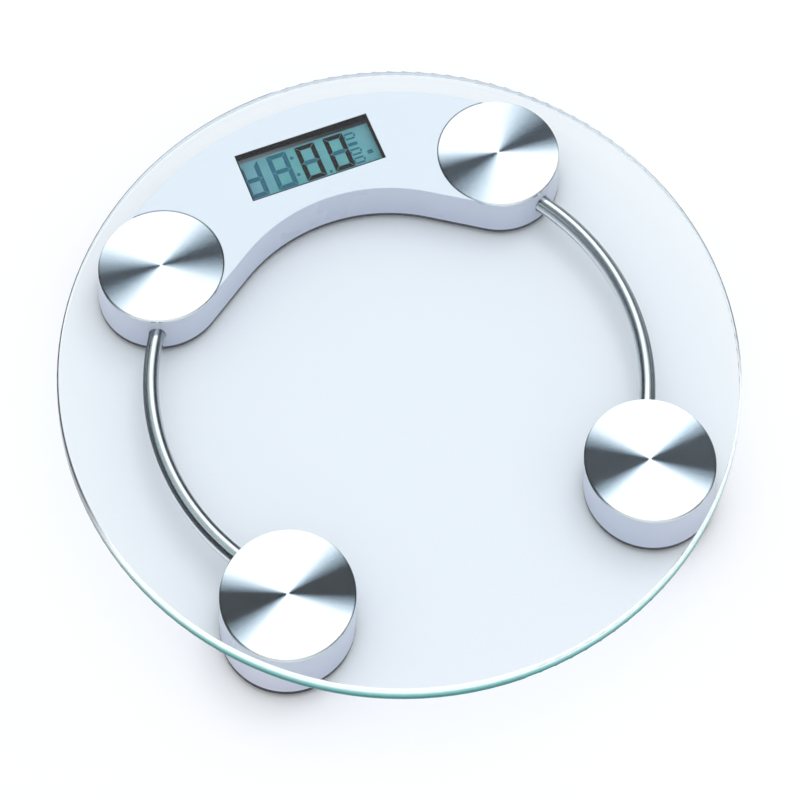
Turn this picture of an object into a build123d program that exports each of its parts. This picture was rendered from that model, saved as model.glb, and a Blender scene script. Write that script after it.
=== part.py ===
"""Round glass personal scale: a tempered glass platform on four strain-gauge feet.

Millimetres: +Z up, +Y towards the display, origin on the floor under the centre of the platform.
"Upper" parts lie at +Y, "lower" at -Y, "right" at +X. A crescent housing under the display side
holds the electronics and the two upper feet. Two round pods hold the lower feet. Two bent chromed
tubes carry the lower load-cell leads up to the crescent. A steel disc joins each pod to the glass.
"""
from build123d import *
import math
import os

os.makedirs("parts", exist_ok=True)

# ---- driving dimensions ----
R_GLASS, T_GLASS = 165.0, 6.0
Z_TOP = 26.0                        # top of the platform
Z_GLASS = Z_TOP - T_GLASS           # underside of the glass
R_GLASS_EDGE = 1.2                  # polished edge

R_PITCH = 128.5                     # pod centres lie on this radius, every 90 degrees
POD_C = R_PITCH / math.sqrt(2)      # x and y of the upper right pod's centre
R_POD = 31.2
R_DISC, T_DISC = R_POD, 1.2
WALL = 2.0
Z_SHELL = 2.0                       # lower rim of every shell
Z_POD_ROOF = Z_GLASS - T_DISC       # disc seat
Z_POD_CAV = Z_POD_ROOF - WALL       # inside of the pod roof

R_OUTER = 154.8                     # crescent outer arc, concentric with the platform
Y_INNER, R_INNER = 11.0, 86.0       # crescent inner arc: centre (0, Y_INNER)
Z_CAV = Z_GLASS - WALL              # inside of the crescent roof

R_TUBE_PATH, R_TUBE, T_TUBE, Z_TUBE = 120.0, 4.0, 0.7, 11.0
TUBE_STOP = 45 - 12.0               # angle from +X of the tube's stop inside the pod wall
SLEEVE_START = 45 - 14.6            # start of the sleeve that holds the tube in the pod
TUBE_CUT_START = 45 - 22.0          # start of the tube cuts, outside the pod

LCD_Y = 123.1                       # display centre
WIN_W, WIN_H = 71.0, 27.4           # display window
COLLAR = 0.5                        # wall of the bezel collar that lines the window
COLLAR_W, COLLAR_H = WIN_W + 2 * COLLAR, WIN_H + 2 * COLLAR

Z_CELL, T_CELL, S_CELL = 10.4, 2.4, 34.0
Z_CELL_TOP = Z_CELL + T_CELL
R_SEAT = 22.5                       # rings that clamp the cell from above and below
CELL_OPENING = 27.0                 # side of the square opening in those rings
R_BOSS_PITCH, R_BOSS = 25.7, 3.0
BOSS_ANGLES = (50, 150, 250)
LEAD_ANGLES = (0, 218)              # lead channels, in the pod's local frame
Z_RET, T_RET, R_RET = 4.0, 1.6, 28.9
Z_RET_TOP = Z_RET + T_RET
FOOT_DROP = 1.0                     # how far a foot hangs down when the scale is lifted
Z_PAD, Z_FOOT = 1.4, 3.2            # tops of the rubber pad and the foot plate
Z_HOOK = 7.6                        # top of the foot's hooks

Z_COVER = 3.8                       # inside face of the base cover
Z_COVER_SEAT = 3.1                  # screw seats in the base cover
Z_BOARD, Z_BOARD_TOP = 10.0, 11.6
BOARD_W, BOARD_H = 98.0, 38.0
Z_LCD, Z_LCD_TOP = 13.7, 16.5

COVER_SCREWS = ((0.0, 148.3), (56.0, 108.0), (-56.0, 108.0), (56.0, 135.0), (-56.0, 135.0))
BOARD_SCREWS = [(sx * (BOARD_W / 2 - 3), LCD_Y + sy * (BOARD_H / 2 - 5))
                for sy in (-1, 1) for sx in (1, -1)]

CELL_X, CELL_Y = 26.0, 121.0        # coin cell centre
BUTTON = (-CELL_X, CELL_Y)          # unit button centre
HINGE_Y, HINGE_Z = 134.3, 3.3       # battery door hinge axis
DOOR_Y, DOOR_GAP = 108.1, 0.3       # free edge of the door, and its clearance
OPENING_W = 25.2
DOOR_W = OPENING_W - 2 * DOOR_GAP
Z_COIN, Z_COIN_TOP, Z_WELL_ROOF = 4.6, 7.8, 8.6
Z_BUTTON_TOP = 5.7                  # the button's stem meets the switch plunger

Z_FAR = 30.0                        # cutters from the floor to here pass right through
MIN = (Align.CENTER, Align.CENTER, Align.MIN)


# ---- shape helpers ----
def cyl(r, z0, z1, x=0.0, y=0.0):
    return Pos(x, y, z0) * Cylinder(r, z1 - z0, align=MIN)


def through(r, x=0.0, y=0.0):
    return cyl(r, 0, Z_FAR, x, y)


def slab(x, y, width, depth, z0, z1):
    """A box centred on (x, y)."""
    return Pos(x, y, z0) * Box(width, depth, z1 - z0, align=MIN)


def block(x0, x1, y0, y1, z0, z1):
    return slab((x0 + x1) / 2, (y0 + y1) / 2, x1 - x0, y1 - y0, z0, z1)


def fuse(shapes):
    total, *rest = shapes
    for shape in rest:
        total = total + shape
    return total


def ring_arc(r, a0, a1):
    """A round bar of radius r bent along the tubes' path, from a0 to a1 degrees."""
    section = Plane.XZ * Pos(R_TUBE_PATH, Z_TUBE) * Circle(r)
    return Rot(0, 0, a0) * revolve(section, Axis.Z, a1 - a0)


def bar(points, r, bend=5.0):
    """A round bar along straight runs, with an arc of up to the bend radius at each corner."""
    pts = [Vector(*p) for p in points]
    edges, start = [], pts[0]
    for before, corner, after in zip(pts, pts[1:], pts[2:]):
        run_in, run_out = corner - before, after - corner
        dir_in, dir_out = run_in.normalized(), run_out.normalized()
        turn = math.acos(max(-1.0, min(1.0, dir_in.dot(dir_out))))
        if turn < 1e-4:
            continue
        cut = min(bend * math.tan(turn / 2), 0.45 * run_in.length, 0.45 * run_out.length)
        radius = cut / math.tan(turn / 2)
        arc_start, arc_end = corner - dir_in * cut, corner + dir_out * cut
        inward = (dir_out - dir_in).normalized()
        arc_mid = corner + inward * (radius / math.cos(turn / 2) - radius)
        edges.append(Edge.make_line(start, arc_start))
        edges.append(Edge.make_three_point_arc(arc_start, arc_mid, arc_end))
        start = arc_end
    edges.append(Edge.make_line(start, pts[-1]))
    path = Wire(edges)
    return sweep(Plane(origin=path @ 0, z_dir=path % 0) * Circle(r), path=path)


def screw(x, y, z_seat, head_r, head_h, r, length):
    """A screw pointing up, with a cross recess in its head."""
    cross = Box(0.6, head_r * 1.3, 1.0) + Box(head_r * 1.3, 0.6, 1.0)
    body = cyl(head_r, z_seat - head_h, z_seat, x, y) + cyl(r, z_seat, z_seat + length, x, y)
    return body - Pos(x, y, z_seat - head_h) * cross


# ---- mirroring and saving ----
def mirror_x(shape):
    return mirror(shape, about=Plane.YZ)


def mirror_y(shape):
    return mirror(shape, about=Plane.XZ)


def both(shape):
    return shape + mirror_x(shape)


CORNERS = {
    "upper_right": lambda s: s,
    "upper_left": mirror_x,
    "lower_right": mirror_y,
    "lower_left": lambda s: mirror_x(mirror_y(s)),
}


def at_corners(shape):
    return fuse(place(shape) for place in CORNERS.values())


def save(name, shape):
    solids = shape.solids()
    assert solids, name
    body = solids[0] if len(solids) == 1 else Compound(children=list(solids))
    export_step(body, f"parts/{name}.step")


def save_corners(stem, shape):
    for corner, place in CORNERS.items():
        save(f"{stem}_{corner}", place(shape))


def save_sides(stem, shape):
    save(f"{stem}_right", shape)
    save(f"{stem}_left", mirror_x(shape))


# ---- local frame of the upper right pod: origin at its centre, +x towards the tube's stop ----
stop = math.radians(TUBE_STOP)
POD_ANGLE = math.degrees(math.atan2(R_TUBE_PATH * math.sin(stop) - POD_C,
                                    R_TUBE_PATH * math.cos(stop) - POD_C))
POD = Pos(POD_C, POD_C, 0) * Rot(0, 0, POD_ANGLE)


def pod_xy(r, angle):
    """Scale coordinates of a polar point in the pod's local frame."""
    t = math.radians(angle + POD_ANGLE)
    return POD_C + r * math.cos(t), POD_C + r * math.sin(t)


def pod_point(r, angle, z):
    return (*pod_xy(r, angle), z)


BOSS_XY = [pod_xy(R_BOSS_PITCH, a) for a in BOSS_ANGLES]


def at_bosses(z0, z1, r):
    return fuse(cyl(r, z0, z1, x, y) for x, y in BOSS_XY)


# ---- glass platform and the steel discs under it ----
glass = cyl(R_GLASS, Z_GLASS, Z_TOP)
glass = fillet(glass.edges().filter_by(GeomType.CIRCLE), R_GLASS_EDGE)
save("glass_platform", glass)

disc = cyl(R_DISC, Z_POD_ROOF, Z_GLASS)
disc = chamfer(disc.edges().group_by(Axis.Z)[-1], 0.45)
save_corners("steel_disc", Pos(POD_C, POD_C, 0) * disc)


# ---- crescent outline: two arcs about the Y axis, joined by the upper pods' circles ----
def crescent_outline():
    # A straight line is tangent to the inner arc and, on its other side, to the pod circle.
    dx, dy = POD_C, POD_C - Y_INNER
    normal = math.atan2(dy, dx) + math.acos((R_INNER + R_POD) / math.hypot(dx, dy))
    nx, ny = math.cos(normal), math.sin(normal)
    inner_end = (R_INNER * nx, Y_INNER + R_INNER * ny)
    pod_start = (POD_C - R_POD * nx, POD_C - R_POD * ny)
    pod_mid = (POD_C + R_POD * math.cos(-math.pi / 4), POD_C + R_POD * math.sin(-math.pi / 4))
    # The outer arc cuts the pod circle: cosine rule about the platform axis.
    meet = math.pi / 4 + math.acos(
        (R_OUTER**2 + R_PITCH**2 - R_POD**2) / (2 * R_OUTER * R_PITCH))
    outer_end = (R_OUTER * math.cos(meet), R_OUTER * math.sin(meet))

    def left(p):
        return (-p[0], p[1])

    return make_face(Wire([
        ThreePointArc(left(inner_end), (0, Y_INNER + R_INNER), inner_end),
        Line(inner_end, pod_start),
        ThreePointArc(pod_start, pod_mid, outer_end),
        ThreePointArc(outer_end, (0, R_OUTER), left(outer_end)),
        ThreePointArc(left(outer_end), left(pod_mid), left(pod_start)),
        Line(left(pod_start), left(inner_end)),
    ]))


outline = crescent_outline()
cavity_plan = offset(outline, amount=-WALL)
cover_plan = offset(outline, amount=-WALL - 0.2)
UPPER_PODS = ((POD_C, POD_C), (-POD_C, POD_C))

# Features shared by every pod: bosses, tube sleeve and the cuts through them
bosses = at_bosses(Z_RET_TOP, Z_POD_CAV + 0.5, R_BOSS)
boss_pilots = at_bosses(Z_RET_TOP - 1, 13.0, 1.3)
sleeve = ring_arc(R_TUBE + 1.2, SLEEVE_START, TUBE_STOP) & cyl(R_POD - 0.4, 2, 18, POD_C, POD_C)
tube_socket = ring_arc(R_TUBE + 0.1, TUBE_CUT_START, TUBE_STOP)
lead_hole = ring_arc(R_TUBE - 0.9, TUBE_CUT_START, TUBE_STOP + 1)

# ---- crescent top shell ----
shell = Pos(0, 0, Z_SHELL) * extrude(outline, Z_GLASS - Z_SHELL)
shell = fillet(shell.edges().group_by(Axis.Z)[-1], 0.6)
shell -= Pos(0, 0, Z_SHELL) * extrude(cavity_plan, Z_POD_CAV - Z_SHELL)
high_cavity = Pos(0, 0, Z_POD_CAV) * extrude(cavity_plan, Z_CAV - Z_POD_CAV)
for x, y in UPPER_PODS:
    high_cavity -= through(R_DISC + 2.2, x, y)
shell -= high_cavity
for x, y in UPPER_PODS:
    shell -= cyl(R_DISC + 0.15, Z_POD_ROOF, Z_GLASS + 1, x, y)
shell -= slab(0, LCD_Y, COLLAR_W + 0.2, COLLAR_H + 0.2, Z_CAV - 1, Z_CAV + 3)
shell += both(bosses)
for x, y in COVER_SCREWS:
    shell += cyl(3.0, Z_COVER, Z_CAV + 0.5, x, y)
for x, y in BOARD_SCREWS:
    shell += cyl(2.6, Z_BOARD_TOP, Z_CAV + 0.5, x, y)
shell += both(sleeve)
for cutter in (tube_socket, lead_hole, boss_pilots):
    shell -= both(cutter)
for x, y in COVER_SCREWS:
    shell -= cyl(1.3, 3, 12.0, x, y)
for x, y in BOARD_SCREWS:
    shell -= cyl(0.95, 11, 16.5, x, y)
save("display_housing", shell)

# ---- lower pod shells ----
pod = cyl(R_POD, Z_SHELL, Z_POD_ROOF, POD_C, POD_C)
pod -= cyl(R_POD - WALL, Z_SHELL, Z_POD_CAV, POD_C, POD_C)
pod += bosses
pod += sleeve
for cutter in (tube_socket, lead_hole, boss_pilots):
    pod -= cutter
save_sides("foot_pod_lower", mirror_y(pod))

# ---- chromed tubes between the pods ----
tube_end = TUBE_STOP - 0.1
tube = ring_arc(R_TUBE, -tube_end, tube_end)
tube -= ring_arc(R_TUBE - T_TUBE, -tube_end - 1, tube_end + 1)
save_sides("chrome_tube", tube)

# ---- load-cell stack, drawn in the pod's local frame ----
bracket = cyl(R_SEAT, Z_CELL_TOP, Z_POD_CAV)
bracket -= slab(0, 0, CELL_OPENING, CELL_OPENING, 8, 28)
for angle in LEAD_ANGLES:
    bracket -= Rot(0, 0, angle) * block(10, 30, -2.6, 3.6, Z_CELL_TOP, Z_POD_CAV - 0.8)
save_corners("cell_bracket", POD * bracket)

# Two C-shaped slots leave a centre tongue carried on one pair of arms.
CELL_SLOTS = (                      # x0, x1, y0, y1
    (-10.5, 12.0, 8.0, 10.5), (-10.5, 12.0, -10.5, -8.0), (9.5, 12.0, -10.5, 10.5),
    (-12.0, 4.0, 3.6, 5.4), (-12.0, 4.0, -5.4, -3.6), (-12.0, -10.2, -5.4, 5.4),
)
cell = slab(0, 0, S_CELL, S_CELL, Z_CELL, Z_CELL_TOP)
cell = chamfer(cell.edges().filter_by(Axis.Z), 3.0)
for slot in CELL_SLOTS:
    cell -= block(*slot, 0, Z_FAR)
save_corners("load_cell", POD * cell)

potting = fuse(slab(-1.0, y, 12, 2.2, Z_CELL_TOP, Z_CELL_TOP + 0.9) for y in (6.7, -6.7))
save("gauge_potting", at_corners(POD * potting))

retainer = cyl(R_RET, Z_RET, Z_RET_TOP) + cyl(R_SEAT, Z_RET_TOP, Z_CELL)
retainer -= slab(0, 0, CELL_OPENING, CELL_OPENING, Z_RET_TOP, Z_RET_TOP + 20)
retainer -= through(12.0)
for angle in BOSS_ANGLES:
    t = math.radians(angle)
    retainer -= through(1.45, R_BOSS_PITCH * math.cos(t), R_BOSS_PITCH * math.sin(t))
save_corners("foot_retainer", POD * retainer)

# ---- feet: plate, hub, the button that presses on the cell's tongue, and three snap hooks ----
R_HOOK_IN, R_HOOK, R_BARB = 9.4, 11.2, 12.9
BUTTON_TIP = 0.8                    # height of the tapered tip
foot = cyl(22.0, Z_PAD, Z_FOOT)
foot = fillet(foot.edges().filter_by(GeomType.CIRCLE).group_by(Axis.Z)[0], 0.6)
foot += cyl(8.0, Z_FOOT, 6.0)
foot += (cyl(3.0, 6.0, Z_CELL - BUTTON_TIP)
         + Pos(0, 0, Z_CELL - BUTTON_TIP) * Cone(3.0, 2.2, BUTTON_TIP, align=MIN))
hooks = cyl(R_HOOK, Z_FOOT, Z_HOOK) - cyl(R_HOOK_IN, Z_FOOT, Z_HOOK)
barb = cyl(R_BARB, Z_RET_TOP + FOOT_DROP, Z_HOOK) - through(R_HOOK_IN)
sectors = fuse(Rot(0, 0, a) * block(5, 14, -3.2, 3.2, Z_FOOT, Z_HOOK) for a in (0, 120, 240))
foot += (hooks + barb) & sectors
save_corners("foot", POD * foot)

pad = cyl(20.0, 0.0, Z_PAD)
pad = chamfer(pad.edges().group_by(Axis.Z)[0], 0.4)
save_corners("rubber_pad", POD * pad)

# ---- screws: identical ones share a file ----
save("pod_screws", at_corners(fuse(
    screw(x, y, Z_RET, head_r=2.4, head_h=1.1, r=1.25, length=8.0) for x, y in BOSS_XY)))
save("cover_screws", fuse(
    screw(x, y, Z_COVER_SEAT, head_r=2.3, head_h=1.0, r=1.25, length=7.5)
    for x, y in COVER_SCREWS))
save("board_screws", fuse(
    screw(x, y, Z_BOARD, head_r=1.8, head_h=1.0, r=0.9, length=5.5) for x, y in BOARD_SCREWS))


# ---- base cover with battery well ----
def bay(width, y0, y1, z0, z1):
    """A box centred across the battery bay."""
    return block(CELL_X - width / 2, CELL_X + width / 2, y0, y1, z0, z1)


def hinge_rod(r, length):
    return Pos(CELL_X, HINGE_Y, HINGE_Z) * Rot(0, 90, 0) * Cylinder(r, length)


cover = Pos(0, 0, Z_SHELL) * extrude(cover_plan, Z_COVER - Z_SHELL)
for x, y in UPPER_PODS:
    cover -= cyl(28.2, 0, 10, x, y)
cover = max(cover.solids(), key=lambda s: s.volume)     # drop the slivers beyond the pods
cover += bay(28.8, 105.6, 137.6, Z_COVER - 0.5, 9.4)
cover -= bay(OPENING_W, DOOR_Y - DOOR_GAP, 135.9, 0, 4.2)
cover -= bay(OPENING_W, 132.4, 135.9, 0, 4.9)           # room for the hinge barrel
cover -= bay(10.0, 106.4, 108.0, 0, 4.2)                # notch for the door's tab
cover -= cyl(10.6, 4.0, Z_WELL_ROOF, CELL_X, CELL_Y)
cover -= hinge_rod(0.9, 28.0)
for x, y in COVER_SCREWS:
    cover -= cyl(1.45, 0, 10, x, y) + cyl(2.5, 0, Z_COVER_SEAT, x, y)
cover -= cyl(4.15, 0, 10, *BUTTON)
cover += cyl(6.9, Z_COVER - 0.3, 5.4, *BUTTON) - cyl(5.5, 0, 10, *BUTTON)
save("base_cover", cover)

# ---- battery door, coin cell and contacts ----
door = bay(DOOR_W, DOOR_Y, HINGE_Y, Z_SHELL, Z_COVER)
door += hinge_rod(1.3, DOOR_W)
door += hinge_rod(0.8, 27.4)
door += bay(8.8, 106.8, 109.0, 2.6, Z_COVER)
for k in range(4):                  # grip grooves
    door -= bay(12.0, 110.0 + 1.6 * k, 110.8 + 1.6 * k, 0, 2.4)
save("battery_door", door)

coin = cyl(10.0, Z_COIN, Z_COIN_TOP, CELL_X, CELL_Y)
coin = chamfer(coin.edges().filter_by(GeomType.CIRCLE), 0.3)
save("coin_cell", coin)
minus = slab(CELL_X, CELL_Y, 5, 14, 8.3, Z_WELL_ROOF)
minus += slab(CELL_X, CELL_Y - 3, 3, 3, Z_COIN_TOP, 8.3)
save("battery_contact_minus", minus)
plus = cyl(10.45, 4.8, 8.2, CELL_X, CELL_Y) - through(10.15, CELL_X, CELL_Y)
plus &= slab(CELL_X - 11, CELL_Y, 6, 8, 0, Z_FAR)
save("battery_contact_plus", plus)

# ---- unit button and its switch ----
button = cyl(4.0, 1.2, 3.9, *BUTTON)
button = fillet(button.edges().group_by(Axis.Z)[0], 0.5)
button += cyl(5.2, 3.9, 4.7, *BUTTON) + cyl(2.0, 4.7, Z_BUTTON_TOP, *BUTTON)
save("unit_button", button)
save("switch_body", slab(*BUTTON, 6, 6, 6.6, Z_BOARD) - cyl(1.8, 6, 7.8, *BUTTON))
save("switch_plunger", cyl(1.7, Z_BUTTON_TOP, 7.2, *BUTTON))

# ---- circuit board, display and bezel ----
board = slab(0, LCD_Y, BOARD_W, BOARD_H, Z_BOARD, Z_BOARD_TOP)
for x, y in BOARD_SCREWS:
    board -= through(1.1, x, y)
save("circuit_board", board)
blob = cyl(6.0, 8.7, Z_BOARD, -6.0, 127.5)
blob = fillet(blob.edges().group_by(Axis.Z)[0], 1.0)
save("chip_blob", blob)
save("wake_sensor", Pos(-5.0, 111.5, 7.8) * Rot(0, 90, 0) * Cylinder(2.2, 11.0))
save("lcd_panel", slab(0, LCD_Y, 78, 34, Z_LCD, Z_LCD_TOP))
save("zebra_strips", fuse(
    slab(0, LCD_Y + dy, 74, 2.4, Z_BOARD_TOP, Z_LCD) for dy in (15.4, -15.4)))
bezel = slab(0, LCD_Y, 85, 39, Z_BOARD_TOP, Z_CAV)
bezel += slab(0, LCD_Y, COLLAR_W, COLLAR_H, Z_CAV - 0.5, Z_GLASS - 0.1)
bezel -= slab(0, LCD_Y, 78.4, 34.4, 0, Z_LCD_TOP)
bezel -= slab(0, LCD_Y, WIN_W, WIN_H, 0, Z_FAR)
save("lcd_bezel", bezel)

# ---- load-cell leads ----
R_LEAD, Z_LEAD = 0.9, 14.7          # lead radius, and its height over the cell


def tube_point(r, angle):
    """A point at the tubes' height, polar about the platform axis."""
    t = math.radians(angle)
    return (r * math.cos(t), r * math.sin(t), Z_TUBE)


upper_path = [pod_point(r, LEAD_ANGLES[1], Z_LEAD) for r in (8.0, 14.0, 22.0)] + [
    (64.0, 110.0, 14.6), (56.5, 119.0, 13.9), (51.0, 122.4, 13.1),
    (47.6, 123.0, 12.7), (44.8, 123.0, 12.6),
]
save_sides("sensor_lead_upper", bar(upper_path, R_LEAD))

LOWER_POD_RUN = (                   # radius, angle, z in the pod's local frame
    (6.8, 80, Z_LEAD), (8.6, 42, Z_LEAD), (14.0, 6, Z_LEAD),
    (20.0, 0, Z_LEAD), (25.0, 0, 12.8), (29.5, 0, 11.2),
)
lower_path = [(x, -y, z) for x, y, z in (pod_point(*row) for row in LOWER_POD_RUN)]
lower_path += [tube_point(R_TUBE_PATH, a) for a in range(-28, 29, 14)]
# Past the tube's end the lead keeps to the tube's line, then turns along the pod's wall.
lower_path += [tube_point(118.6, 32.0), tube_point(118.0, 34.2)]
lower_path += [pod_point(26.2, a, 11.0) for a in (-20, -35, -60)]
lower_path += [
    (64.6, 80.0, 11.2), (60.8, 88.0, 11.8), (60.8, 98.0, 12.6), (61.2, 109.5, 13.2),
    (57.6, 115.0, 13.4), (51.0, 116.0, 13.0), (47.6, 116.3, 12.7), (44.8, 116.3, 12.6),
]
save_sides("sensor_lead_lower", bar(lower_path, R_LEAD))
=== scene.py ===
import bpy
import bmesh
import math
from mathutils import Matrix, Vector


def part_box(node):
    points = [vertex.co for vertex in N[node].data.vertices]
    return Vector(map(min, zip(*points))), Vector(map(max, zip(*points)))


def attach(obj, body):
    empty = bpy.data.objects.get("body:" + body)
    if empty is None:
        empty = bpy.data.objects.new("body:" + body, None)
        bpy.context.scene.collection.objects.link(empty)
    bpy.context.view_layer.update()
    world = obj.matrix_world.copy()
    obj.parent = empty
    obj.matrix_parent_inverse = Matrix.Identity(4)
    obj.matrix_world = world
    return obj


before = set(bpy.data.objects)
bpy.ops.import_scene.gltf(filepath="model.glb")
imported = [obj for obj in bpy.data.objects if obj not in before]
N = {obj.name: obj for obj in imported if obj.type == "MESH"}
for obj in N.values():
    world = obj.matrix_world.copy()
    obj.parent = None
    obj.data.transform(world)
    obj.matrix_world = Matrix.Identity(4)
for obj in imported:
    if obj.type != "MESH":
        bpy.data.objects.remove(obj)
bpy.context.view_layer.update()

C4 = ("upper_right", "upper_left", "lower_right", "lower_left")
R_DISC = 0.0312
P = 0.1285 / math.sqrt(2)
POD = {"upper_right": (P, P), "upper_left": (-P, P), "lower_right": (P, -P), "lower_left": (-P, -P)}


# ---------------------------------------------------------------- node helpers
class Mat:
    def __init__(self, name):
        self.m = bpy.data.materials.new(name)
        self.m.use_nodes = True
        self.t = self.m.node_tree
        self.t.nodes.clear()
        self.out = self.new("ShaderNodeOutputMaterial")

    def new(self, kind, **kw):
        n = self.t.nodes.new(kind)
        for k, v in kw.items():
            setattr(n, k, v)
        return n

    def link(self, a, b):
        self.t.links.new(a, b)

    def put(self, sock, v):
        if hasattr(v, "is_linked"):
            self.link(v, sock)
        else:
            sock.default_value = v

    def math(self, op, a, b=None, c=None, clamp=False):
        n = self.new("ShaderNodeMath", operation=op, use_clamp=clamp)
        for i, v in enumerate((a, b, c)):
            if v is not None:
                self.put(n.inputs[i], v)
        return n.outputs[0]

    def vmath(self, op, a, b=None):
        n = self.new("ShaderNodeVectorMath", operation=op)
        self.put(n.inputs[0], a)
        if b is not None:
            self.put(n.inputs[1], b)
        return n.outputs["Value"] if op in ("LENGTH", "DOT_PRODUCT") else n.outputs[0]

    def range(self, v, a, b, lo=0.0, hi=1.0, smooth=True):
        n = self.new("ShaderNodeMapRange", interpolation_type="SMOOTHSTEP" if smooth else "LINEAR")
        self.put(n.inputs["Value"], v)
        for k, x in zip(("From Min", "From Max", "To Min", "To Max"), (a, b, lo, hi)):
            n.inputs[k].default_value = x
        return n.outputs["Result"]

    def mix(self, f, a, b):
        n = self.new("ShaderNodeMix", data_type="RGBA")
        self.put(n.inputs[0], f)
        for i, v in ((6, a), (7, b)):
            if isinstance(v, tuple):
                v = (*v[:3], 1.0)
            self.put(n.inputs[i], v)
        return n.outputs[2]

    def mixs(self, f, a, b):
        n = self.new("ShaderNodeMixShader")
        self.put(n.inputs[0], f)
        self.link(a, n.inputs[1])
        self.link(b, n.inputs[2])
        return n.outputs[0]

    def coords(self):
        return self.new("ShaderNodeTexCoord").outputs["Object"]

    def xyz(self, v):
        n = self.new("ShaderNodeSeparateXYZ")
        self.link(v, n.inputs[0])
        return n.outputs

    def noise(self, scale, detail=3.0, rough=0.5, vec=None, dims="3D", w=None):
        n = self.new("ShaderNodeTexNoise", noise_dimensions=dims)
        n.inputs["Scale"].default_value = scale
        n.inputs["Detail"].default_value = detail
        n.inputs["Roughness"].default_value = rough
        if w is not None:
            self.link(w, n.inputs["W"])
        elif dims != "1D":
            self.link(vec or self.coords(), n.inputs["Vector"])
        return n.outputs["Fac"]

    def bump(self, h, strength, dist, normal=None):
        n = self.new("ShaderNodeBump")
        n.inputs["Strength"].default_value = strength
        n.inputs["Distance"].default_value = dist
        self.link(h, n.inputs["Height"])
        if normal is not None:
            self.link(normal, n.inputs["Normal"])
        return n.outputs[0]

    def ramp(self, f, stops, mode="LINEAR"):
        n = self.new("ShaderNodeValToRGB")
        n.color_ramp.interpolation = mode
        e = n.color_ramp.elements
        while len(e) < len(stops):
            e.new(0.5)
        for el, (p, c) in zip(e, stops):
            el.position = p
            el.color = (*c, 1.0)
        self.put(n.inputs[0], f)
        return n.outputs[0]

    def principled(self, **kw):
        n = self.new("ShaderNodeBsdfPrincipled")
        for k, v in kw.items():
            k = k.replace("_", " ")
            if isinstance(v, tuple) and len(v) == 3:
                v = (*v, 1.0)
            self.put(n.inputs[k], v)
        return n

    def done(self, shader):
        self.link(shader.outputs[0] if hasattr(shader, "outputs") else shader, self.out.inputs["Surface"])
        return self.m


def srgb(r, g, b):
    f = lambda c: c / 12.92 if c <= 0.04045 else ((c + 0.055) / 1.055) ** 2.4
    return tuple(f(x / 255.0) for x in (r, g, b))


def give(node, mat):
    o = N[node]
    if not o.material_slots:
        o.data.materials.append(mat)
    for s in o.material_slots:
        s.material = mat


# ---------------------------------------------------------------- materials
def plastic(name, col, rough=0.42, grain=2600.0, grain_h=0.00002, var=0.04, spec=0.5, coat=0.0):
    """Moulded plastic: fine spark-eroded grain, slow colour drift, roughness that varies a little."""
    k = Mat(name)
    n1 = k.noise(grain, 2.0)
    n2 = k.noise(28.0, 3.0)
    c = k.mix(n2, tuple(x * (1 - var) for x in col), tuple(min(1.0, x * (1 + var)) for x in col))
    r = k.range(n2, 0.3, 0.7, rough - 0.04, rough + 0.05)
    p = k.principled(Base_Color=c, Roughness=r, Specular_IOR_Level=spec, Coat_Weight=coat, Coat_Roughness=0.15)
    k.link(k.bump(n1, 0.35, grain_h), p.inputs["Normal"])
    return k.done(p)


def metal(name, col, rough=0.3, scale=(900.0, 900.0, 60.0), var=0.06, aniso=0.0, bump=0.00001):
    """Plated or rolled metal with fine drawn scratches and blotchy roughness."""
    k = Mat(name)
    mp = k.new("ShaderNodeMapping")
    mp.inputs["Scale"].default_value = scale
    k.link(k.coords(), mp.inputs[0])
    n1 = k.noise(1.0, 4.0, 0.6, mp.outputs[0])
    n2 = k.noise(60.0, 3.0)
    c = k.mix(n2, tuple(x * (1 - var) for x in col), col)
    r = k.range(n1, 0.3, 0.7, rough * 0.8, rough * 1.25)
    p = k.principled(Base_Color=c, Metallic=1.0, Roughness=r, Anisotropic=aniso)
    k.link(k.bump(n1, 0.3, bump), p.inputs["Normal"])
    return k.done(p)


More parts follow.
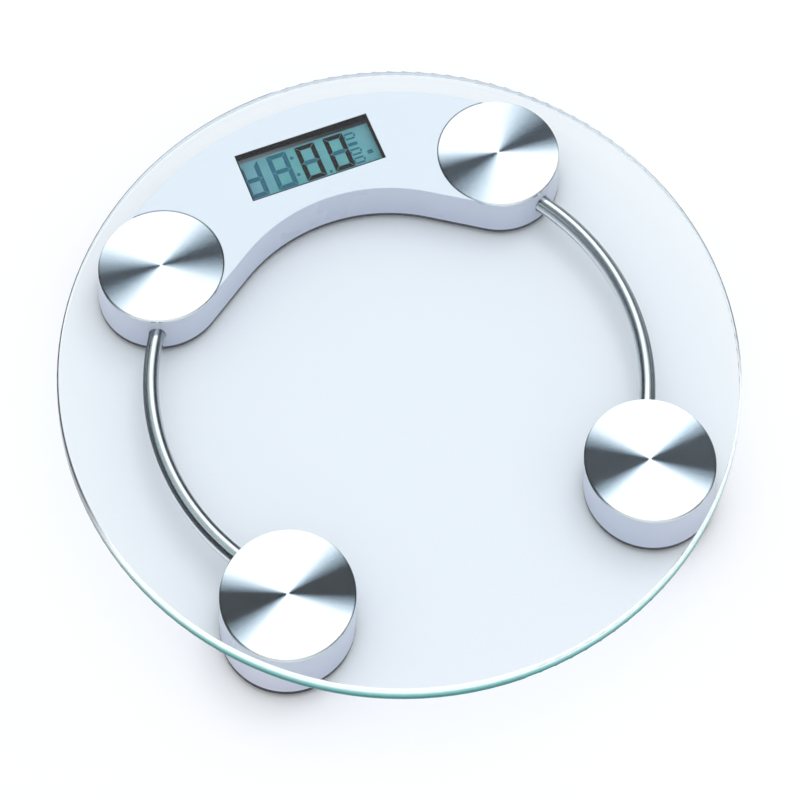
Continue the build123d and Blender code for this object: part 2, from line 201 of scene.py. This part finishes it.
def glass_mat():
    """Clear float glass with a faint cool tint. The polished edge carries a painted highlight where it turns over.
    Below that the melt's teal is painted on the side away from the display only, as light seen through the edge, and
    grey elsewhere; painted dark reflection lines run along the top and the far side, and the rim has a faint painted
    glow."""
    k = Mat("tempered_glass")
    pos = k.coords()
    x, y, z = k.xyz(pos)
    rad = k.math("SQRT", k.math("ADD", k.math("MULTIPLY", x, x), k.math("MULTIPLY", y, y)))
    edge = k.range(rad, 0.16380, 0.16420)
    geo = k.new("ShaderNodeNewGeometry")
    back = geo.outputs["Backfacing"]
    # the edge's true normal, from the rounded profile, so that no facets show
    zc = k.math("MINIMUM", k.math("MAXIMUM", z, 0.0212), 0.0248)
    v = k.new("ShaderNodeCombineXYZ")
    over = k.math("DIVIDE", k.math("MAXIMUM", k.math("SUBTRACT", rad, 0.1638), 0.00002), rad)
    k.link(k.math("MULTIPLY", x, over), v.inputs[0])
    k.link(k.math("MULTIPLY", y, over), v.inputs[1])
    k.link(k.math("SUBTRACT", z, zc), v.inputs[2])
    nrm = k.vmath("NORMALIZE", v.outputs[0])
    flip = k.new("ShaderNodeVectorMath", operation="SCALE")     # seen from inside the glass, the edge faces inwards
    k.link(nrm, flip.inputs[0])
    k.link(k.math("SUBTRACT", 1.0, k.math("MULTIPLY", back, 2.0)), flip.inputs["Scale"])
    nrm = flip.outputs[0]
    smear = k.noise(9.0, 2.0)
    film = k.range(smear, 0.35, 0.75, 0.0, 0.012)
    body = k.principled(Base_Color=GLASS_TINT, Roughness=film, IOR=1.5, Transmission_Weight=1.0, Specular_Tint=(0.16, 0.16, 0.16))
    tone = k.noise(40.0, 2.0)
    h = k.math("DIVIDE", k.math("SUBTRACT", z, 0.020), 0.006)
    # 1 towards the near side, 0 at the sides and the far side
    near = k.range(k.math("DIVIDE", k.math("ADD", k.math("MULTIPLY", x, -0.10), k.math("MULTIPLY", y, -1.0)), rad), 0.05, 0.80)
    line = k.mix(near, srgb(84, 96, 102), k.mix(tone, srgb(12, 104, 104), srgb(30, 126, 122)))
    mid = k.mix(near, srgb(190, 200, 205), srgb(130, 202, 200))
    # painted highlight where the polished edge turns over
    painted_rim_highlight = k.mix(near, srgb(246, 250, 251), srgb(244, 255, 255))
    outer = k.mix(k.range(h, 0.28, 0.62), line, mid)
    outer = k.mix(k.range(h, 0.56, 0.78), outer, painted_rim_highlight)
    # top of the edge: painted dark reflection at the sides and far side, painted highlight on the near side
    outer = k.mix(k.math("MULTIPLY", k.range(h, 0.90, 0.965), k.range(rad, 0.16440, 0.16460)), outer, k.mix(k.range(near, 0.0, 0.45), srgb(58, 66, 72), painted_rim_highlight))
    # painted dark reflection line along the far side of the edge
    far = k.math("MULTIPLY", k.range(near, 0.45, 0.0), k.range(rad, 0.16395, 0.16425))
    outer = k.mix(k.math("MULTIPLY", far, k.range(h, 0.3, 0.5)), outer, srgb(62, 71, 78))
    # seen from inside the glass: a painted highlight low on the edge, a painted dark reflection above it
    inner = k.mix(k.range(h, 0.46, 0.72), srgb(236, 243, 246), srgb(62, 72, 78))
    # the rim's painted colour also glows faintly through its emission, a painted glow
    rim = k.principled(Base_Color=k.mix(back, outer, inner), Roughness=0.12, IOR=1.5, Transmission_Weight=0.10, Coat_Weight=0.3, Coat_Roughness=0.05,
                       Emission_Color=k.mix(back, outer, inner), Emission_Strength=0.12)
    k.link(nrm, rim.inputs["Normal"])
    seen = k.mixs(edge, body.outputs[0], rim.outputs[0])
    lp = k.new("ShaderNodeLightPath")
    thin = k.new("ShaderNodeBsdfTransparent")
    thin.inputs["Color"].default_value = (*GLASS_SHADOW, 1.0)
    f = k.math("MAXIMUM", lp.outputs["Is Shadow Ray"], lp.outputs["Is Diffuse Ray"])
    return k.done(k.mixs(f, seen, thin.outputs[0]))


def disc_mat(name, cx, cy, ang, core, lo, hi, dark):
    """Face-turned steel with concentric cuts and a real anisotropic reflection along them. The bright and dark wedges
    fanning out from the centre are painted reflections in the base colour.
    """
    k = Mat(name)
    pos = k.coords()
    x, y, z = k.xyz(pos)
    dx, dy = k.math("SUBTRACT", x, cx), k.math("SUBTRACT", y, cy)
    a = k.math("ARCTAN2", dy, dx)
    d = k.math("WRAP", k.math("SUBTRACT", a, math.radians(ang)), math.pi / 2, -math.pi / 2)
    r = k.math("SQRT", k.math("ADD", k.math("MULTIPLY", dx, dx), k.math("MULTIPLY", dy, dy)))
    rn = k.math("DIVIDE", r, R_DISC)
    # fine turning marks: a one-dimensional noise along the radius
    cut = k.noise(1.0, 3.0, 0.7, dims="1D", w=k.math("MULTIPLY", r, 5200.0))
    slow = k.noise(1.0, 2.0, 0.5, dims="1D", w=k.math("MULTIPLY", r, 420.0))
    jit = k.math("MULTIPLY", k.math("SUBTRACT", cut, 0.5), 0.014)
    d2 = k.math("ADD", d, jit)
    # painted reflection: bright and dark wedges about the tilt angle, set into the base colour
    up = k.math("DIVIDE", k.math("SUBTRACT", d2, math.radians(core)), math.radians(hi))
    dn = k.math("DIVIDE", k.math("SUBTRACT", k.math("MULTIPLY", d2, -1.0), math.radians(core)), math.radians(lo))
    f = k.math("MAXIMUM", up, dn, clamp=True)
    stops = [(0.0, srgb(*dark)), (0.10, srgb(dark[0] + 12, dark[1] + 14, dark[2] + 16)), (0.33, srgb(132, 144, 154)),
             (0.60, srgb(196, 206, 216)), (0.82, srgb(238, 242, 247)), (1.0, srgb(254, 255, 255))]
    painted_fan = k.ramp(f, stops)
    ringed = k.mix(k.range(cut, 0.25, 0.8, 0.0, 0.035), painted_fan, srgb(176, 180, 186))
    # painted dark reflection at the chamfer, strongest inside the dark wedges
    ringed = k.mix(k.math("MULTIPLY", k.range(rn, 0.972, 0.988), k.range(f, 0.75, 0.0, 0.25, 0.95)), ringed, srgb(20, 24, 28))
    pip = k.range(rn, 0.012, 0.032)
    col = k.mix(pip, (0.98, 0.98, 1.0), ringed)
    tan = k.new("ShaderNodeTangent", direction_type="RADIAL", axis="Z")
    rough = k.range(slow, 0.3, 0.7, 0.225, 0.235)
    p = k.principled(Base_Color=col, Metallic=1.0, Roughness=rough, Anisotropic=0.6)
    k.link(tan.outputs[0], p.inputs["Tangent"])
    k.link(k.bump(cut, 0.05, 0.000006), p.inputs["Normal"])
    return k.done(p)


def housing_mat():
    """Silver-lilac satin plastic. Painted light and shade: the faces that look up are painted paler and the sides
    darker, as the light falls on them.
    """
    k = Mat("housing_satin")
    geo = k.new("ShaderNodeNewGeometry")
    nz = k.xyz(geo.outputs["Normal"])[2]
    x, y, z = k.xyz(k.coords())
    up = k.range(nz, 0.55, 0.95)
    n1 = k.noise(2200.0, 2.0)
    n2 = k.noise(22.0, 3.0)
    side = k.mix(n2, SIDE_A, SIDE_B)
    # painted shade: the sides darker towards the bottom
    side = k.mix(k.range(z, 0.0175, 0.0022, 0.0, 1.0), side, k.mix(0.5, side, SIDE_LOW))
    top = k.mix(n2, TOP_A, TOP_B)
    # painted highlight: a light line just above the wall's foot
    side = k.mix(k.math("MULTIPLY", k.range(z, 0.0043, 0.0036), 0.55), side, srgb(232, 236, 244))
    # painted shadow: a dark band along the wall's foot, where the gap under the wall lies in shadow
    side = k.mix(k.range(z, 0.0038, 0.0034), side, srgb(40, 45, 54))
    # painted light and shade: pale on faces that look up, darker on the sides
    col = k.mix(up, side, top)
    r = k.range(n2, 0.3, 0.7, 0.26, 0.36)
    bev = k.new("ShaderNodeBevel", samples=4)
    bev.inputs["Radius"].default_value = 0.0005
    p = k.principled(Base_Color=col, Roughness=r, Specular_IOR_Level=0.45, Coat_Weight=0.25, Coat_Roughness=0.2)
    k.link(k.bump(n1, 0.25, 0.000015, bev.outputs[0]), p.inputs["Normal"])
    return k.done(p)


def chrome_mat():
    """Bright plating over drawn tube: very fine lengthwise draw marks and a faint haze. Light and dark lengthwise
    streaks around the tube are painted reflections.
    """
    k = Mat("chrome_plate")
    x, y, z = k.xyz(k.coords())
    rad = k.math("SQRT", k.math("ADD", k.math("MULTIPLY", x, x), k.math("MULTIPLY", y, y)))
    v = k.new("ShaderNodeCombineXYZ")
    k.link(k.math("MULTIPLY", rad, 9000.0), v.inputs[0])
    k.link(k.math("MULTIPLY", z, 9000.0), v.inputs[1])
    k.link(k.math("MULTIPLY", y, 30.0), v.inputs[2])
    draw = k.noise(1.0, 2.0, 0.6, v.outputs[0])
    haze = k.noise(55.0, 3.0)
    # painted reflections: light and dark lengthwise streaks set into the colour by angle around the tube's section
    ph = k.math("ARCTAN2", k.math("SUBTRACT", z, 0.011), k.math("SUBTRACT", rad, 0.120))
    def painted_streak(deg, half, soft):
        return k.range(k.math("ABSOLUTE", k.math("SUBTRACT", ph, math.radians(deg))), math.radians(half + soft), math.radians(half))
    col = k.mix(haze, (0.40, 0.44, 0.46), (0.48, 0.52, 0.54))
    col = k.mix(painted_streak(93.0, 5.0, 9.0), col, (0.96, 0.97, 0.98))
    col = k.mix(k.math("MAXIMUM", painted_streak(0.0, 8.0, 12.0), painted_streak(180.0, 8.0, 12.0)), col, (0.90, 0.92, 0.94))
    col = k.mix(k.math("MULTIPLY", painted_streak(36.0, 12.0, 8.0), 0.93), col, srgb(48, 58, 66))
    col = k.mix(k.math("MULTIPLY", painted_streak(66.0, 6.0, 9.0), 0.55), col, srgb(112, 126, 130))
    col = k.mix(k.math("MULTIPLY", painted_streak(120.0, 7.0, 6.0), 0.85), col, srgb(62, 72, 80))
    p = k.principled(Base_Color=col, Metallic=1.0, Roughness=k.range(haze, 0.3, 0.7, 0.05, 0.10))
    k.link(k.bump(draw, 0.12, 0.000006), p.inputs["Normal"])
    return k.done(p)


def lcd_mat():
    """Reflective twisted-nematic display: teal polariser film under clear gloss. A grey band along the far edge is
    painted shadow from the window's wall, lighter towards the left as a painted reflection.
    """
    k = Mat("display_film")
    x, y, z = k.xyz(k.coords())
    n = k.noise(120.0, 3.0)
    drift = k.noise(26.0, 2.0)
    c = k.mix(n, LCD_A, LCD_B)
    c = k.mix(k.range(drift, 0.4, 0.7, 0.0, 0.45), c, LCD_C)
    # painted shadow: grey band along the far edge, lighter towards the left as a painted reflection
    c = k.mix(k.range(y, 0.1231 + 0.0112, 0.1231 + 0.0119), c, k.mix(k.range(x, 0.02, -0.03), srgb(52, 54, 60), srgb(120, 124, 130)))
    p = k.principled(Base_Color=c, Roughness=0.38, Specular_IOR_Level=0.2, Coat_Weight=0.0)
    k.link(k.bump(k.noise(3000.0, 1.0), 0.05, 0.000005), p.inputs["Normal"])
    return k.done(p)


def board_mat():
    """Solder mask with fine copper tracks showing through."""
    k = Mat("solder_mask")
    w = k.new("ShaderNodeTexBrick")
    w.inputs["Scale"].default_value = 240.0
    w.inputs["Mortar Size"].default_value = 0.05
    w.inputs["Color1"].default_value = (*srgb(24, 92, 52), 1)
    w.inputs["Color2"].default_value = (*srgb(20, 80, 45), 1)
    w.inputs["Mortar"].default_value = (*srgb(60, 140, 84), 1)
    k.link(k.coords(), w.inputs["Vector"])
    p = k.principled(Base_Color=w.outputs["Color"], Roughness=0.35, Coat_Weight=0.3)
    k.link(k.bump(w.outputs["Fac"], 0.2, 0.00003), p.inputs["Normal"])
    return k.done(p)


def rubber_mat(name, col):
    """Soft rubber: matt, dusty, with a fine ribbed tread on the face."""
    k = Mat(name)
    n = k.noise(1500.0, 3.0)
    dust = k.noise(90.0, 4.0)
    c = k.mix(k.range(dust, 0.45, 0.8), col, tuple(min(1, x * 2.2 + 0.02) for x in col))
    p = k.principled(Base_Color=c, Roughness=k.range(dust, 0.3, 0.7, 0.62, 0.82), Specular_IOR_Level=0.3)
    k.link(k.bump(n, 0.5, 0.00006), p.inputs["Normal"])
    return k.done(p)


GLASS_TINT = (0.884, 0.926, 0.944)
GLASS_SHADOW = (0.955, 0.97, 0.99)
# housing colours: the sides are painted darker and their lowest part darker still, painted shade; the tops are
# painted paler, painted light
SIDE_A, SIDE_B, SIDE_LOW = srgb(195, 200, 215), srgb(203, 208, 221), srgb(182, 187, 207)
TOP_A, TOP_B = srgb(231, 237, 242), srgb(237, 242, 246)
LCD_A, LCD_B, LCD_C = srgb(70, 148, 152), srgb(112, 176, 176), srgb(126, 154, 180)

give("glass_platform", glass_mat())
# painted reflection wedges for each disc, in degrees: tilt, half-width of the dark core, spread on the lower-angle
# side, spread on the higher-angle side, then the darkest colour
PAINTED_WEDGE = {"upper_right": (4.0, 4.0, 27.0, 62.0, (50, 58, 66)),
         "upper_left": (-4.0, 2.0, 42.0, 46.0, (54, 62, 70)),
         "lower_left": (-9.0, 11.0, 26.0, 36.0, (44, 49, 53)),
         "lower_right": (-14.0, 15.0, 32.0, 32.0, (50, 56, 62))}
for c in C4:
    give("steel_disc_" + c, disc_mat("turned_steel_" + c, *POD[c], *PAINTED_WEDGE[c]))
housing = housing_mat()
for n in ("display_housing", "foot_pod_lower_left", "foot_pod_lower_right"):
    give(n, housing)
chrome = chrome_mat()
for n in ("chrome_tube_left", "chrome_tube_right"):
    give(n, chrome)
give("lcd_panel", lcd_mat())
give("lcd_bezel", plastic("bezel_black", srgb(3, 3, 4), 0.6, 2200.0, var=0.15, spec=0.05))
give("base_cover", plastic("cover_plastic", srgb(206, 210, 220), 0.5, 1700.0, 0.00004))
give("battery_door", plastic("door_plastic", srgb(200, 204, 215), 0.48, 1700.0, 0.00004))
give("unit_button", plastic("button_plastic", srgb(92, 96, 106), 0.4))
give("switch_body", plastic("switch_black", srgb(30, 30, 33), 0.45))
give("switch_plunger", plastic("plunger_plastic", srgb(120, 60, 50), 0.45))
give("circuit_board", board_mat())
give("chip_blob", plastic("chip_epoxy", srgb(14, 14, 15), 0.25, 900.0, 0.00003, 0.2))
give("wake_sensor", metal("sensor_can", (0.80, 0.72, 0.48), 0.28))
give("coin_cell", metal("coin_steel", (0.76, 0.77, 0.78), 0.25, (60.0, 60.0, 900.0)))
give("battery_contact_minus", metal("contact_minus", (0.82, 0.79, 0.68), 0.25))
give("battery_contact_plus", metal("contact_plus", (0.82, 0.79, 0.68), 0.25))
give("zebra_strips", rubber_mat("zebra_rubber", srgb(196, 150, 150)))
give("gauge_potting", plastic("potting_silicone", srgb(236, 236, 230), 0.3, 600.0, 0.00008))
screws = metal("screw_zinc", (0.62, 0.63, 0.65), 0.3)
for n in ("pod_screws", "cover_screws", "board_screws"):
    give(n, screws)
carrier = plastic("carrier_plastic", srgb(212, 214, 220), 0.5, 1500.0, 0.00004)
foot_p = plastic("foot_plastic", srgb(216, 218, 224), 0.45, 1500.0, 0.00004)
cell = metal("cell_nickel", (0.66, 0.66, 0.66), 0.34, (900.0, 60.0, 900.0))
pad = rubber_mat("pad_rubber", srgb(58, 58, 62))
lead = rubber_mat("lead_sleeve", srgb(205, 205, 208))
for c in C4:
    give("cell_bracket_" + c, carrier)
    give("foot_retainer_" + c, carrier)
    give("foot_" + c, foot_p)
    give("load_cell_" + c, cell)
    give("rubber_pad_" + c, pad)
    give("sensor_lead_" + c, lead)

# The glass is drawn a hair thin, so its faces don't coincide with the faces it is bonded to.
m = N["glass_platform"].modifiers.new("bond_line", "DISPLACE")
m.mid_level = 0.0
m.strength = -0.00004


# ---------------------------------------------------------------- display segments
def mesh_piece(name, bm, mat, body):
    me = bpy.data.meshes.new(name)
    bm.to_mesh(me)
    bm.free()
    o = bpy.data.objects.new(name, me)
    bpy.context.scene.collection.objects.link(o)
    me.materials.append(mat)
    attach(o, body)
    return o


def prism(bm, pts, z0, z1):
    lo = [bm.verts.new((x, y, z0)) for x, y in pts]
    hi = [bm.verts.new((x, y, z1)) for x, y in pts]
    bm.faces.new(list(reversed(lo)))
    bm.faces.new(hi)
    for i in range(len(pts)):
        j = (i + 1) % len(pts)
        bm.faces.new((lo[i], lo[j], hi[j], hi[i]))


def segment(bm, p, q, t, z0, z1, gap):
    """A bar from p to q with pointed ends, t wide, set back by gap at each end."""
    p, q = Vector(p), Vector(q)
    u = (q - p).normalized()
    v = Vector((-u.y, u.x))
    p, q = p + u * gap, q - u * gap
    h = t / 2
    pts = [p, p + u * h - v * h, q - u * h - v * h, q, q - u * h + v * h, p + u * h + v * h]
    prism(bm, [(a.x, a.y) for a in pts], z0, z1)


MM = 0.001
lcd_lo, lcd_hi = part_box("lcd_panel")
LX, LY = (lcd_lo.x + lcd_hi.x) / 2, (lcd_lo.y + lcd_hi.y) / 2
Z0, Z1 = lcd_hi.z + 0.00001, lcd_hi.z + 0.00005
DW, DH, DT = 8.2, 18.6, 2.5     # digit frame width, height and bar thickness in mm, on bar centrelines


def digit(bm, cx, names):
    """Seven mitred bars, square at the digit's outer corners."""
    w, h, o, g = DW / 2, DH / 2, DT / 2, 0.16
    top = [(-w - o + g, h + o), (w + o - g, h + o), (w - o - g, h - o), (-w + o + g, h - o)]
    side = [(w + o, h + o - g), (w - o, h - o - g), (w - o, o + g), (w, g), (w + o, g)]
    shape = {"a": top, "d": [(x, -y) for x, y in top], "b": side, "c": [(x, -y) for x, y in side],
             "f": [(-x, y) for x, y in side], "e": [(-x, -y) for x, y in side],
             "g": [(-w + g, 0), (-w + o + g, o), (w - o - g, o), (w - g, 0), (w - o - g, -o), (-w + o + g, -o)]}
    for n in names:
        p = shape[n]
        if sum(a[0] * b[1] - b[0] * a[1] for a, b in zip(p, p[1:] + p[:1])) < 0:
            p = p[::-1]
        prism(bm, [(LX + (cx + x) * MM, LY + (y + 0.1) * MM) for x, y in p], Z0, Z1)


def dot(bm, cx, cy, r):
    prism(bm, [(LX + (cx + r * math.cos(a)) * MM, LY + (cy + r * math.sin(a)) * MM) for a in [i * math.pi / 8 for i in range(16)]], Z0, Z1)


ink = Mat("segment_ink")
ni = ink.noise(400.0, 2.0)
ink_m = ink.done(ink.principled(Base_Color=ink.mix(ni, srgb(2, 3, 6), srgb(4, 5, 9)), Roughness=0.5, Specular_IOR_Level=0.1))
gho = Mat("segment_ghost")
ng = gho.noise(300.0, 2.0)
ghost_m = gho.done(gho.principled(Base_Color=gho.mix(ng, srgb(26, 92, 112), srgb(44, 110, 128)), Roughness=0.5, Specular_IOR_Level=0.1))

bm = bmesh.new()
digit(bm, 0.35, "abcdef")
digit(bm, 15.85, "abcdef")
mesh_piece("display_digits", bm, ink_m, "platform")
bm = bmesh.new()
digit(bm, 0.35, "g")
digit(bm, 15.85, "g")
digit(bm, -15.15, "abcdefg")
digit(bm, -30.65, "bcdefg")
dot(bm, -8.0, 5.6, 0.95)
dot(bm, -8.0, -5.0, 0.95)
dot(bm, 8.1, -9.2, 0.85)
# blank indicator blocks where the unit marks would be
for cx, cy, w, h in ((24.2, 7.2, 5.4, 3.0), (24.2, 2.2, 5.4, 1.0), (24.2, -2.6, 5.4, 3.0), (24.2, -8.0, 5.4, 3.0), (31.0, -5.2, 3.4, 1.2)):
    for x0, y0, x1, y1 in ((-w / 2, h / 2, w / 2, h / 2), (-w / 2, -h / 2, w / 2, -h / 2)):
        segment(bm, (LX + (cx + x0) * MM, LY + (cy + y0) * MM), (LX + (cx + x1) * MM, LY + (cy + y1) * MM), 1.0 * MM, Z0, Z1, 0.0)
    for x0 in (-w / 2, w / 2):
        if h > 1.5:
            segment(bm, (LX + (cx + x0) * MM, LY + (cy - h / 2) * MM), (LX + (cx + x0) * MM, LY + (cy + h / 2) * MM), 1.0 * MM, Z0, Z1, 0.5 * MM)
mesh_piece("display_ghost_segments", bm, ghost_m, "platform")

# ---------------------------------------------------------------- stage and light
bm = bmesh.new()
s = 6.0
f = bm.faces.new([bm.verts.new(v) for v in ((-s, -s, 0), (s, -s, 0), (s, s, 0), (-s, s, 0))])
me = bpy.data.meshes.new("floor")
bm.to_mesh(me)
bm.free()
floor = bpy.data.objects.new("floor", me)
floor.location = (0, 0, -0.0003)
bpy.context.scene.collection.objects.link(floor)
k = Mat("floor_paper")
fn = k.noise(6.0, 2.0)
paper = k.done(k.principled(Base_Color=k.mix(fn, (0.90, 0.905, 0.915), (0.915, 0.92, 0.93)), Roughness=0.9, Specular_IOR_Level=0.1))
t = paper.node_tree
out = next(n for n in t.nodes if n.type == "OUTPUT_MATERIAL")
both = t.nodes.new("ShaderNodeMixShader")
t.links.new(t.nodes.new("ShaderNodeNewGeometry").outputs["Backfacing"], both.inputs[0])
t.links.new(out.inputs["Surface"].links[0].from_socket, both.inputs[1])
t.links.new(t.nodes.new("ShaderNodeBsdfTransparent").outputs[0], both.inputs[2])
t.links.new(both.outputs[0], out.inputs["Surface"])
me.materials.append(paper)

world = bpy.data.worlds.new("studio")
bpy.context.scene.world = world
world.use_nodes = True
w = Mat.__new__(Mat)
w.t = world.node_tree
w.t.nodes.clear()
w.out = w.new("ShaderNodeOutputWorld")
d = w.new("ShaderNodeTexCoord").outputs["Generated"]
dx, dy, dz = w.xyz(d)
soft = w.ramp(w.range(dz, 0.0, 1.0, 0.0, 1.0, False), [(0.0, (0.80, 0.815, 0.84)), (0.5, (1.0, 1.01, 1.025)), (1.0, (1.16, 1.165, 1.17))])
shiny = w.ramp(w.range(dz, -0.2, 1.0, 0.0, 1.0, False), [(0.0, (0.42, 0.43, 0.45)), (0.15, (0.80, 0.815, 0.83)), (0.245, (0.80, 0.815, 0.83)), (0.30, (0.025, 0.03, 0.035)), (0.52, (0.03, 0.036, 0.04)), (0.60, (0.60, 0.62, 0.65)), (0.69, (1.42, 1.42, 1.42)), (1.0, (1.50, 1.50, 1.50))])
lp = w.new("ShaderNodeLightPath")
c = w.mix(lp.outputs["Is Camera Ray"], soft, (1.0, 1.0, 1.0))
c = w.mix(lp.outputs["Is Transmission Ray"], c, (0.97, 0.98, 0.99))
c = w.mix(w.math("MINIMUM", lp.outputs["Glossy Depth"], 1.0), c, shiny)
bg = w.new("ShaderNodeBackground")
w.link(c, bg.inputs["Color"])
bg.inputs["Strength"].default_value = 1.0
w.link(bg.outputs[0], w.out.inputs["Surface"])


def area(name, loc, target, size, power, col=(1, 1, 1)):
    li = bpy.data.lights.new(name, "AREA")
    li.shape = "DISK"
    li.size = size
    li.energy = power
    li.color = col
    o = bpy.data.objects.new(name, li)
    bpy.context.scene.collection.objects.link(o)
    o.location = loc
    o.rotation_euler = (Vector(target) - Vector(loc)).to_track_quat("-Z", "Y").to_euler()
    return o


area("key", (1.35, 0.75, 2.3), (0, 0, 0), 1.1, 6.0, (1.0, 0.995, 0.985))

# ---------------------------------------------------------------- camera
cam = bpy.data.cameras.new("camera")
co = bpy.data.objects.new("camera", cam)
bpy.context.scene.collection.objects.link(co)
loc = Vector((-0.537269, -1.286299, 1.692646))
X = Vector((0.927971, -0.372407, 0.013511))
Y = Vector((0.105339, 0.296917, 0.949075))
Z = X.cross(Y).normalized()
Y = Z.cross(X).normalized()
co.location = loc
co.rotation_mode = "QUATERNION"
co.rotation_quaternion = Matrix((X, Y, Z)).transposed().to_quaternion()
cam.sensor_width = 36.0
cam.lens = 172.135
cam.clip_start, cam.clip_end = 0.05, 60.0
# This lens is shifted, as on a view camera. The shift holds only on this stand: with the camera anywhere else, it is zero.
stand = bpy.data.objects.new("camera_stand", None)
bpy.context.scene.collection.objects.link(stand)
stand.location = loc
for prop, value in (("shift_x", -0.007102), ("shift_y", -3.015938)):
    fc = cam.driver_add(prop)
    for mod in list(fc.modifiers):
        fc.modifiers.remove(mod)
    fc.driver.type = "SUM"
    var = fc.driver.variables.new()
    var.type = "LOC_DIFF"
    var.targets[0].id = co
    var.targets[1].id = stand
    fc.extrapolation = "CONSTANT"
    fc.keyframe_points.add(4 - len(fc.keyframe_points))
    for kp, at in zip(fc.keyframe_points, ((-0.2, value), (0.02, value), (0.12, 0.0), (0.4, 0.0))):
        kp.co = at
        kp.interpolation = "LINEAR"
bpy.context.scene.camera = co
bpy.context.scene.view_settings.view_transform = "Standard"
bpy.context.scene.view_settings.look = "None"
bpy.context.view_layer.update()
